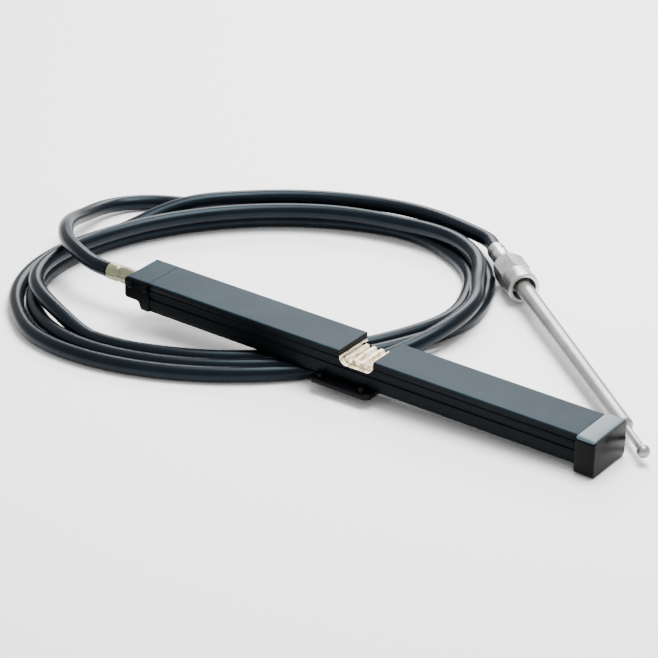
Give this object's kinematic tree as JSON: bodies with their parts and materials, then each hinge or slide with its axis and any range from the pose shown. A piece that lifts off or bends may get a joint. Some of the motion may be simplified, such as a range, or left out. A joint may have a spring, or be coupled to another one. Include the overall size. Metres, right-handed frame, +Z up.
{
  "type": "boat steering cable",
  "caption": "Rack-type push-pull steering cable for a boat: a metal rack housing with an end cap, a coiled black cable and a steel output ram with a ball end.",
  "frame": {"origin": "centre of the base of the bounding box of the housing and the output end, on the floor; the cable is left out", "axes": "+X runs along the rack housing towards its end cap, +Z is up from the floor the coil lies on"},
  "size_m": [0.7125, 0.4306, 0.0514],
  "materials": {
    "housing_metal": "satin",
    "black_metal": "gloss",
    "cap_metal": "satin",
    "zinc": "satin",
    "yellow_zinc": "satin",
    "steel": "polished",
    "rack_metal": "matt",
    "rubber": "satin"
  },
  "bodies": {
    "housing": {"rack_housing": "housing_metal", "cable_end_block": "black_metal", "block_screw_1": "zinc", "block_screw_2": "zinc", "end_cap": "cap_metal", "mount_bracket": "black_metal", "bracket_bolt_1": "zinc", "bracket_bolt_2": "zinc", "input_ferrule": "yellow_zinc", "cable": "rubber", "output_ferrule": "zinc", "support_tube": "steel"},
    "rack": {"rack_bar": "rack_metal"},
    "ram": {"output_ram": "steel"},
    "nut": {"coupling_nut": "zinc"}
  },
  "joints": [
    {"name": "rack_slide", "type": "slide", "parent": "housing", "child": "rack", "axis": [-0.9995, 0, 0.0307], "range_m": [0, 0.21]},
    {"name": "ram_slide", "type": "slide", "parent": "housing", "child": "ram", "axis": [0.7698, -0.638, -0.0196], "range_m": [0, 0.21]},
    {"name": "nut_spin", "type": "hinge", "parent": "housing", "child": "nut", "pos_m": [-0.03217, 0.15482, 0.0199], "axis": [0.7698, -0.638, -0.0196], "continuous": true}
  ],
  "couplings": [
    {"joint": "ram_slide", "follows": "rack_slide", "ratio": 1}
  ]
}
